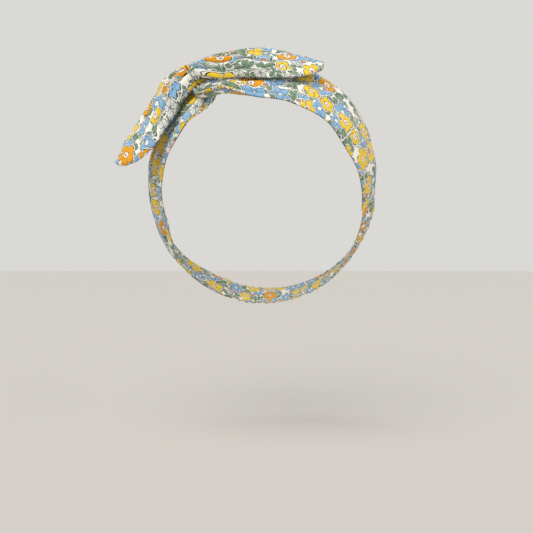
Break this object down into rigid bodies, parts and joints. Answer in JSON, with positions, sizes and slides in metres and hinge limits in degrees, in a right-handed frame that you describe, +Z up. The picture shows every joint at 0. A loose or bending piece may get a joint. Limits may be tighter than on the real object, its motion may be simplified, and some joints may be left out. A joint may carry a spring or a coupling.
{
  "type": "knotted headband",
  "caption": "Fabric headband as worn: two interfaced ties hooked in an off-centre half knot with two ears, joined behind the head by an elastic in a ruched casing.",
  "frame": {"origin": "middle of the head that wears the headband, inside the loop", "axes": "+Z up as worn, -Y towards the face, +X away from the knot's side"},
  "size_m": [0.1956, 0.1438, 0.1868],
  "materials": {
    "printed_cotton": "matt printed cotton lawn",
    "lining_cotton": "matt printed cotton lawn, same cloth as the face",
    "interfacing": "matt non-woven",
    "elastic": "matt braided elastic",
    "thread": "polyester sewing thread"
  },
  "bodies": {
    "band": {"left_limb_face": "printed_cotton", "left_limb_interfacing": "interfacing", "left_limb_lining": "lining_cotton", "left_join_stitching": "thread", "right_limb_face": "printed_cotton", "right_limb_interfacing": "interfacing", "right_limb_lining": "lining_cotton", "right_join_stitching": "thread", "left_knot_bight": "printed_cotton", "right_knot_bight": "printed_cotton"},
    "left_ear": {"left_ear_face": "printed_cotton", "left_ear_interfacing": "interfacing", "left_ear_lining": "lining_cotton"},
    "right_ear": {"right_ear_face": "printed_cotton", "right_ear_interfacing": "interfacing", "right_ear_lining": "lining_cotton"},
    "back": {"elastic_casing": "printed_cotton", "elastic_strip": "elastic"}
  },
  "joints": [
    {"name": "left_ear_flex", "type": "hinge", "parent": "band", "child": "left_ear", "pos_m": [-0.0611, -0.0465, 0.0663], "axis": [-0.3917, 0.8242, 0.4091], "range_deg": [-10, 35]},
    {"name": "right_ear_flex", "type": "hinge", "parent": "band", "child": "right_ear", "pos_m": [-0.0383, -0.0494, 0.0865], "axis": [-0.1135, -0.7387, -0.6644], "range_deg": [0, 35]},
    {"name": "elastic_stretch", "type": "slide", "parent": "band", "child": "back", "axis": [0.6229, 0.1542, -0.7669], "range_m": [0, 0.025], "stiffness_N_per_m": 60, "springref_m": -0.004}
  ]
}
